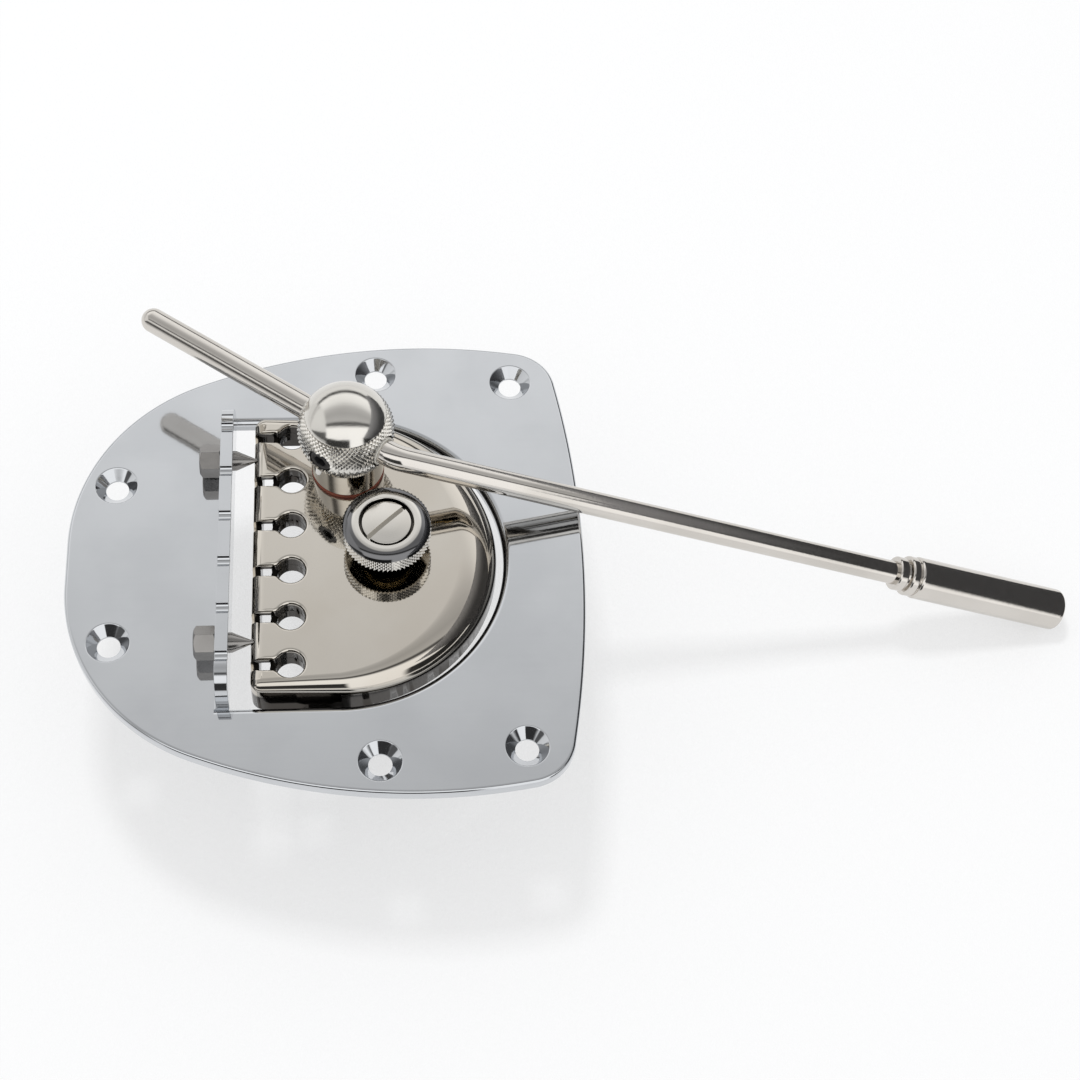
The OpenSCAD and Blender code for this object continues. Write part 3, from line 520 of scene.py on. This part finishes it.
def sheetForm(name, inset, bottom):  # level face, roll and upright skirt; the front lip is rounded elliptically
    points, ways, width, lip = sheetOutline(inset)
    s, top = sheetShape, sheetTop - inset
    inward, down = rollProfile(width, inset)
    t = np.linspace(0, np.pi / 2, len(inward))[:, None]
    lipIn = max(s["lipWide"] - inset, 0.35) * (1 - np.sin(t))
    lipDown = max(s["lipDrop"] - inset, 0.35) * (1 - np.cos(t))
    inward, down = inward + (lipIn - inward) * lip, down + (lipDown - down) * lip
    rings = [np.column_stack([points - ways * i[:, None], top - d]) for i, d in zip(inward, down)]
    rings.append(np.column_stack([points, np.full(len(points), bottom)]))
    return stack(name, rings)


def keyholeRing(out, y, z):  # round hole whose slot flares into it on two fillets, widened by out
    s = sheetShape
    hole, f, w = s["keyRadius"] + out, s["flare"] - out, s["slot"] / 2 + out
    dx = np.sqrt((hole + f) ** 2 - (w + f) ** 2)
    meet = np.degrees(np.arctan2(w + f, -dx))
    ring = arc(0, 0, hole, -meet, meet, 56)
    upper = arc(-dx, w + f, f, meet - 180, -90, 10)[1:]
    mouth = np.array([[-12.0, w], [-12.0, -w]])
    flat = np.concatenate([ring, upper, mouth, (upper * [1, -1])[::-1]]) + [s["keyX"], y]
    return np.column_stack([flat, np.full(len(flat), z)])


def keyhole(y):  # its upper edge is rolled down softly, as a press leaves it
    rows = [(0.0, sheetTop - sheetShape["slotDepth"])] + [tuple(q) for q in edgeSteps(sheetShape["rim"], sheetTop, 8)]
    return stack("keyhole", [keyholeRing(out, y, z) for out, z in rows + [(sheetShape["rim"], sheetTop + 2)]])


sheet = sheetForm("stringPlate", 0.0, sheetShape["skirt"])
sheet.cut(sheetForm("hollow", sheetShape["thick"], sheetShape["skirt"] - 2))
for y in stringYs:
    c, low = sheetShape["collar"], sheetShape["collarFoot"]
    place, hole = (sheetShape["keyX"], y, 0), sheetShape["keyRadius"] - 0.02
    sheet.add(lathe("collar", [(0, low), (c - 0.3, low), (c, low + 0.3), (c, 6.4), (0, 6.4)], 48, place))
    sheet.cut(lathe("stringHole", [(0, 0), (hole, 0), (hole, 6.7), (0, 6.7)], 64, place))
    sheet.cut(keyhole(y))
sheet.cut(lathe("postHole", [(0, 0), (5.5, 0), (5.5, 9), (0, 9)], 64, (*postPlace, 0)),
          lathe("wheelHole", [(0, 0), (3.5, 0), (3.5, 9), (0, 9)], 48, (*wheelPlace, 0)))
for side in (1, -1):
    place = (-23.43, side * pivotY, pivotZ)
    sheet.cut(lathe("seat", [(0, 0), (0.06, 0), (2.2, -2.14), (0, -2.14)], 48, place, (1, 0, 0)))
sheet.bevel(0.22, 2, 40)
sheet.finish(warmNickel, "rocker", ["string_plate"], "warm_nickel")
print("string plate ready")

# Tension wheel and its screw
wheelShape = {"radius": 8.7, "under": 11.7, "top": 16.5, "crown": 1.35, "rim": 0.75, "recess": 5.3, "hub": 3.0,
              "foot": 8.55, "teeth": 62, "toothDepth": 0.4, "toothRows": 6, "headUnder": 14.6}


def knurlFaces(rows, cols, first, last):
    # Quads, split between two hollows in the knurled rows so that each tooth is a pyramid
    quads = gridFaces(rows, cols)
    row = np.repeat(np.arange(rows - 1), cols)
    col = np.tile(np.arange(cols), rows - 1)
    band = (row >= first) & (row < last)
    q, even = quads[band], ((row + col)[band] % 2 == 0)[:, None]
    split = np.concatenate([np.where(even, q[:, [0, 1, 2]], q[:, [0, 1, 3]]),
                            np.where(even, q[:, [0, 2, 3]], q[:, [1, 2, 3]])])
    return quads[~band].tolist() + split.tolist()


def knurlHeight(rows, cols, first):  # 1 on a tooth's point and 0 in the hollows, by turns along and across
    return (np.arange(rows)[:, None] + first + np.arange(cols)[None, :]) % 2


def wheelPiece():
    s = wheelShape
    steps = s["teeth"] * 2
    r, c = s["radius"], s["crown"]
    zBand = np.linspace(s["under"] + 0.25, s["top"] - c, s["toothRows"] + 1)
    profile = [(2.0, s["headUnder"] - 0.05), (2.0, s["foot"]), (s["hub"] - 0.2, s["foot"]),
               (s["hub"], s["foot"] + 0.2), (s["hub"], s["under"]), (r - 0.55, s["under"])]
    first = len(profile)
    profile += [(r, z) for z in zBand]
    wide = r - s["recess"] - s["rim"] - 0.12
    steep = 2 * np.arctan(c / wide)
    profile += [(r - 0.12 - wide + wide * np.sin(t) / np.sin(steep),
                 s["top"] - c * (1 - np.cos(t)) / (1 - np.cos(steep))) for t in np.linspace(steep, 0, 22)]
    profile += rounded(s["recess"] + 0.25, s["top"] - 0.25, 0.25, 90, 180, 4) + [(s["recess"], s["headUnder"] - 0.05)]
    p = np.array(profile)
    radius = np.repeat(p[:, :1], steps, 1)
    radius[first:first + len(zBand)] -= s["toothDepth"] * (1 - knurlHeight(len(zBand), steps, first))
    a = np.linspace(0, 2 * np.pi, steps, endpoint=False)
    grid = np.stack([radius * np.cos(a), radius * np.sin(a), p[:, 1:] + 0 * a], -1)
    faces = knurlFaces(len(p), steps, first, first + len(zBand) - 1)
    col = np.arange(steps)
    last = (len(p) - 1) * steps
    faces += np.stack([last + col, last + (col + 1) % steps, (col + 1) % steps, col], -1).tolist()
    return Solid("thumbWheel", placed(grid.reshape(-1, 3), (*wheelPlace, 0)), faces)


wheelPiece().finish(crownNickel, "knob", ["thumb_wheel"], "nickel", 42)
head = [(0, 16.38), (1.5, 16.37), (3.0, 16.32), (4.3, 16.22)] + rounded(4.62, 15.96, 0.22, 78, 0, 4) + \
    [(4.84, 14.6), (2.0, 14.6), (2.0, -38.1), (1.6, -38.5), (0, -38.5)]
screw = lathe("tensionScrew", head, 128, (*wheelPlace, 0))
slotWay = (np.cos(radians(43)), np.sin(radians(43)), 0)
slot = [(-8, -0.45), (8, -0.45), (8, 0.45), (-8, 0.45)]
screw.cut(prism("driveSlot", slot, 15.2, 18, (*wheelPlace, 0), xAxis=slotWay))
screw.bevel(0.09, 2, 50)
screw.finish(nickel, "knob", ["tension_screw"], "nickel", 35)
print("tension wheel ready")

# Arm head: ring, post, ball and set screw
headShape = {"ball": 9.6, "flatZ": 14.9, "domeRise": 5.3, "teeth": 56, "depth": 0.45, "toothRows": 21, "bore": 3.35}
armWay = np.array([np.cos(radians(-35)), np.sin(radians(-35)), 0.0])
ring = [(4.5, 7.5)] + rounded(7.05, 7.7, 0.2, -60, 0, 3) + [(7.25, 8.1)] + \
    rounded(7.05, 8.1, 0.2, 0, 60, 3) + [(4.5, 8.3)]
lathe("postRing", ring, 128, (*postPlace, 0), ring=True).finish(redFibre, "rocker", ["post_ring"], "red_fibre")
post = [(0, -7.55), (2.6, -7.55), (3.0, -7.15), (3.0, -0.2), (4.0, -0.2), (4.0, 8.35), (6.95, 8.35), (7.2, 8.6),
        (7.2, 14.9), (4.0, 14.9), (4.0, 16.9), (0, 16.9)]
lathe("armPost", post, 160, (*postPlace, 0)).finish(nickel, "arm_head", ["arm_post"], "nickel", 35)


def ballPiece():  # smooth dome above, crossed ridges below, cut flat on the post
    s = headShape
    r, steps = s["ball"], s["teeth"] * 2
    flat, rise = s["flatZ"] - ballCentre[2], s["domeRise"]
    low, high = np.arcsin(flat / r), np.arcsin(rise / r)
    band = np.linspace(low, high, s["toothRows"] + 1)
    dome = np.linspace(high, np.pi / 2, 48)[1:]
    first = 1
    bandR = r - s["depth"] * (1 - knurlHeight(len(band), steps, first))
    domeR = r - 0.08 * np.exp(-(dome - high) * r / 0.3)
    a = np.linspace(0, 2 * np.pi, steps, endpoint=False)[None, :]
    height = np.concatenate([band, dome])[:, None]
    radius = np.concatenate([bandR, np.repeat(domeR[:, None], steps, 1)])
    grid = np.stack([radius * np.cos(height) * np.cos(a), radius * np.cos(height) * np.sin(a),
                     radius * np.sin(height) + 0 * a], -1)
    floorRing = np.zeros((1, steps, 3))
    floorRing[..., 2] = grid[0, 0, 2]
    grid[0, :, 2] = grid[0, 0, 2]
    points = np.concatenate([floorRing, grid]).reshape(-1, 3) + ballCentre
    ball = Solid("armBall", points, knurlFaces(len(grid) + 1, steps, first, first + len(band) - 1))
    ball.cut(lathe("armBore", [(0, -12), (s["bore"], -12), (s["bore"], 12), (0, 12)], 64, ballCentre, armWay))
    out = np.array([np.cos(radians(-125)), np.sin(radians(-125)), 0.0])
    ball.cut(lathe("screwBore", [(0, 3), (2.5, 3), (2.5, 8.6), (2.85, 12), (0, 12)], 48, ballCentre, out))
    ball.cut(lathe("spigotBore", [(0, -7), (4.01, -7), (4.01, -4.35), (0, -4.35)], 48, ballCentre))
    ball.finish(brushedNickel, "arm_head", ["arm_ball"], "nickel", 32, False)
    grub = lathe("setScrew", [(0, 3.05), (2.4, 3.05), (2.4, 8.6), (2.1, 8.9), (0, 8.9)], 64, ballCentre, out)
    grub.cut(prism("socket", arc(0, 0, 1.45, 0, 300, 5), 6.9, 12, ballCentre, out))
    grub.bevel(0.08, 2, 40)
    grub.finish(blackOxide, "arm_head", ["ball_set_screw"], "black_steel", 30)


ballPiece()
print("arm head ready")

# Arm and grip
armShape = {"radius": 2.5, "short": 49.3, "bendAt": 11.56, "bendRadius": 5.0, "long": 155.0, "turn": -2.1,
            "dip": 21.7, "grip": 4.5, "gripLength": 41.5}
dip, turn = radians(armShape["dip"]), radians(armShape["turn"])
gripWay = np.array([np.cos(dip) * np.cos(turn), np.cos(dip) * np.sin(turn), -np.sin(dip)])
corner = ballCentre + armShape["bendAt"] * armWay


def armRod():  # straight, one bend, straight; the short end is domed
    s = armShape
    r, bend = s["radius"], np.arccos(armWay @ gripWay)
    lead = s["bendRadius"] * np.tan(bend / 2)
    inward = gripWay - armWay * (armWay @ gripWay)
    inward /= np.linalg.norm(inward)
    side = np.cross(armWay, inward)
    dome = np.linspace(0, np.pi / 2, 12)
    tip = ballCentre - armWay * (s["short"] - r)
    lines = [tip - armWay * (r * np.cos(t)) for t in dome]
    widths = list(r * np.sin(dome))
    ways = [armWay] * len(dome)
    start = corner - armWay * lead
    for k in np.linspace(0, 1, 12)[1:]:
        lines.append(tip + (start - tip) * k)
        widths.append(r)
        ways.append(armWay)
    for a in np.linspace(0, bend, 25)[1:]:
        lines.append(start + s["bendRadius"] * (np.sin(a) * armWay + (1 - np.cos(a)) * inward))
        widths.append(r)
        ways.append(np.cos(a) * armWay + np.sin(a) * inward)
    end = corner + gripWay * (s["long"] - 5)
    begin = lines[-1]
    for k in np.linspace(0, 1, 24)[1:]:
        lines.append(begin + (end - begin) * k)
        widths.append(r)
        ways.append(gripWay)
    rod = tube("armRod", lines, ways, [side] * len(lines), np.maximum(widths, 1e-3), 64)
    rod.finish(rodNickel, "arm", ["arm_rod"], "satin_nickel", 60, False)


def armGrip():  # two small collars and a plain sleeve with a rounded end
    s = armShape
    r, n = s["grip"], s["gripLength"]
    profile = [(2.52, 0), (3.2, 0)] + rounded(3.2, 0.4, 0.4, -90, 0, 4) + [(3.6, 1.7)] + \
        rounded(3.3, 1.8, 0.3, 0, 60, 3) + [(2.9, 2.35), (3.0, 2.7)] + rounded(3.75, 3.2, 0.5, -110, 0, 5) + \
        [(4.25, 4.1)] + rounded(3.9, 4.2, 0.35, 0, 70, 4) + [(3.85, 4.85)] + rounded(3.9, 5.5, 0.58, -90, 0, 5) + \
        [(r - 0.02, 5.6), (r, 8.0), (r, n - 1.2)] + rounded(r - 1.0, n - 1.0, 1.0, 0, 90, 8) + [(0, n)]
    profile += [(0, n - 3.9), (2.52, n - 3.9)]
    place = corner + gripWay * (s["long"] - n)
    grip = lathe("armGrip", profile, 96, place, gripWay, ring=True)
    grip.finish(rodNickel, "arm", ["arm_grip"], "satin_nickel", 35, False)


armRod()
armGrip()
print("arm ready")

# Spring
springShape = {"radius": 5.4, "wire": 1.6, "curls": 5.5, "foot": -32.9, "head": -15.4}


def mainSpring():  # straight foot, evenly rising curls, straight head
    s = springShape
    low, high = s["foot"] + s["wire"] + 0.3, s["head"] - s["wire"] - 0.3
    t = np.linspace(0, 1, 220)
    a = t * s["curls"] * 2 * np.pi
    curl = np.stack([s["radius"] * np.cos(a), s["radius"] * np.sin(a), low + (high - low) * t], -1)
    first = np.array([[s["radius"], 0, s["foot"]], [s["radius"], 0, low - 0.5]])
    last = np.array([[curl[-1][0], curl[-1][1], high + 0.5], [curl[-1][0], curl[-1][1], s["head"]]])
    line = np.concatenate([first, curl[4:-4], last]) + [*wheelPlace, 0]
    way = np.gradient(line, axis=0)
    way[0] = way[-1] = (0, 0, 1)
    way /= np.linalg.norm(way, axis=1)[:, None]
    out = line - [*wheelPlace, 0]
    out[:, 2] = 0
    out -= way * np.sum(out * way, 1)[:, None]
    out /= np.linalg.norm(out, axis=1)[:, None]
    piece = tube("mainSpring", line, way, out, s["wire"] / 2 - 0.02, 14)
    obj = piece.finish(springSteel, None, ["main_spring"], "spring_steel", 60, False)
    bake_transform(obj)  # its placement is baked into the mesh; it is attached to no body


mainSpring()
print("spring ready")

# CAD pieces that keep their own shape
zincNames = ("spring_bracket", "bracket_screws", "spring_seat", "spring_cup", "post_washer", "post_nut")
for names, paint in ((("wheel_bush", "post_bush", "spring_nut"), brass), (("arm_liner",), nylon),
                     (zincNames, zincSteel), (("post_lock_washer",), springSteel)):
    for name in names:
        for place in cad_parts[name].material_slots:
            place.material = paint
print("CAD pieces painted")

# Floor, studio and camera
studio = {"floor": -40.6, "floorSize": 3000.0, "diffuse": 0.78, "key": 2.5, "fill": 0.4}
floorMesh = bpy.data.meshes.new("floor")
half, low = studio["floorSize"] / 2000, studio["floor"] / 1000
floorCorners = [(-half, -half, low), (half, -half, low), (half, half, low), (-half, half, low)]
floorMesh.from_pydata(floorCorners, [], [(0, 1, 2, 3)])
floor = bpy.data.objects.new("floor", floorMesh)
scene.collection.objects.link(floor)
cloth = Paint("paleCloth")
weave = cloth.noise(900, (1, 1, 1), 4.0)
cloth.set("Base Color", cloth.blend(weave, (0.93, 0.935, 0.945, 1), (0.96, 0.965, 0.975, 1)))
cloth.set("Roughness", 0.9)
cloth.bump(weave, 0.3, 0.0006)
path = "ShaderNodeLightPath"
seen = cloth.node(path, out="Is Camera Ray").calc("MAXIMUM", cloth.node(path, out="Is Glossy Ray"))
seen = seen.calc("MAXIMUM", cloth.node(path, out="Is Transmission Ray"))
glow = cloth.node("ShaderNodeEmission", None, {"Color": (1, 1, 1, 1), "Strength": 1.0})
shown = cloth.node("ShaderNodeMixShader", None, {0: seen * 0.5, 1: Wire(cloth, cloth.shader.outputs[0]), 2: glow})
cloth.tree.links.new(shown.socket, cloth.tree.nodes["Material Output"].inputs["Surface"])
floorMesh.materials.append(cloth.material)

# A black card stands to the right of the part and only reflections show it
card = {"x": 0.165, "corners": ((-0.005, -0.04), (0.03, -0.04), (0.19, 0.022), (0.30, 0.065), (0.30, 0.13),
                                (-0.155, 0.13))}
cardMesh = bpy.data.meshes.new("blackCard")
cardMesh.from_pydata([(card["x"], y, z) for y, z in card["corners"]], [], [(0, 1, 2, 3, 4, 5)])
blackCard = bpy.data.objects.new("blackCard", cardMesh)
scene.collection.objects.link(blackCard)
blackCard.visible_camera = blackCard.visible_diffuse = blackCard.visible_shadow = False
felt = Paint("blackFelt")
rise = Wire(felt, felt.node("ShaderNodeSeparateXYZ", None, {0: felt.place()}).socket.node.outputs[2])
felt.set("Base Color", felt.blend(rise.ease(0.03, 0.13), (0.055, 0.055, 0.058, 1), (0.30, 0.30, 0.31, 1)))
felt.set("Roughness", 0.95)
cardMesh.materials.append(felt.material)

world = bpy.data.worlds.new("studio")
scene.world = world
world.use_nodes = True
sky = Paint("studio", world.node_tree)
background = world.node_tree.nodes["Background"]
way = sky.node("ShaderNodeTexCoord", out="Generated")
split = sky.node("ShaderNodeSeparateXYZ", None, {0: way})
across, back, up = (Wire(sky, split.socket.node.outputs[i]) for i in range(3))
# The lean is 0.5 overhead, 0.75 level behind and 0.25 level in front
lean = back.calc("ARCTAN2", up) / (2 * np.pi) + 0.5


def grey(v): return (v, v, v, 1)


def leanAt(degrees): return 0.5 + degrees / 360.0


def strip(*stops):  # greys along the sky from the floor in front, over the top, to the floor behind
    return sky.node("ShaderNodeValToRGB", {"stops": [(leanAt(d), grey(v)) for d, v in stops]}, {0: lean})


over = ((-22, 0.12), (-17, 0.12), (-12, 0.62), (5, 0.52), (18, 0.6), (24, 0.7), (29, 0.85), (34, 1.0), (40, 1.1),
        (60, 1.25), (66, 0.06), (71, 0.08), (76, 1.0), (120, 0.95))
middle = strip((-120, 0.9), (-92, 0.9), (-88, 0.05), (-60, 0.04), (-56, 1.25), (-30, 1.3), *over)
window = strip((-120, 0.9), (-88, 1.25), (-30, 1.3), *over)
left = strip((-120, 0.8), (-92, 0.8), (-86, 0.6), (-74, 0.55), (-68, 0.12), (-44, 0.12), (-38, 0.85), (-20, 0.9),
             (48, 0.95), (54, 0.6), (60, 0.9), (64, 0.5), (70, 0.85), (120, 0.9))
dark = sky.blend(across.ease(0.12, 0.18) * across.ease(0.68, 0.60), middle, window)
dark = sky.blend((across * -1).ease(0.68, 0.76), dark, left)
dark = sky.blend(across.ease(0.70, 0.76) * up.ease(0.32, 0.20), dark, grey(0.03))
isCamera = sky.node(path, out="Is Camera Ray").calc("MAXIMUM", sky.node(path, out="Is Transmission Ray"))
isGlossy = sky.node(path, out="Is Glossy Ray")
soft = (studio["diffuse"],) * 3 + (1,)
colour = sky.blend(isGlossy, soft, dark)
colour = sky.blend(isCamera, colour, (1, 1, 1, 1))
world.node_tree.links.new(colour.socket, background.inputs["Color"])
background.inputs["Strength"].default_value = 1.0


def areaLamp(name, place, size, power):
    data = bpy.data.lights.new(name, "AREA")
    data.shape, data.size, data.size_y, data.energy = "RECTANGLE", size[0], size[1], power
    lamp = bpy.data.objects.new(name, data)
    scene.collection.objects.link(lamp)
    lamp.location = place
    aim = Matrix.Identity(3)
    z = np.array(place) / np.linalg.norm(place)
    x = np.cross((0, 1, 0.001), z)
    x /= np.linalg.norm(x)
    aim.col[0], aim.col[1], aim.col[2] = x, np.cross(z, x), z
    lamp.rotation_euler = aim.to_euler()
    lamp.visible_glossy = False


areaLamp("keyLamp", (-0.1, 0.25, 0.9), (0.15, 0.15), studio["key"])
areaLamp("fillLamp", (0.6, -0.5, 0.7), (0.6, 0.6), studio["fill"])

view = {"place": (0.003503, -0.224080, 0.387260), "turn": (30.69818, -2.70381, -2.72083), "sensor": 36.0,
        "focalPixels": 2232.84, "pictureSide": 1080}
camera = bpy.data.objects.new("camera", bpy.data.cameras.new("camera"))
scene.collection.objects.link(camera)
camera.location = view["place"]
camera.rotation_euler = Euler([radians(a) for a in view["turn"]])
camera.data.sensor_width = view["sensor"]
camera.data.lens = view["sensor"] * view["focalPixels"] / view["pictureSide"]
camera.data.clip_start = 0.01
scene.camera = camera
scene.view_settings.view_transform = "Standard"
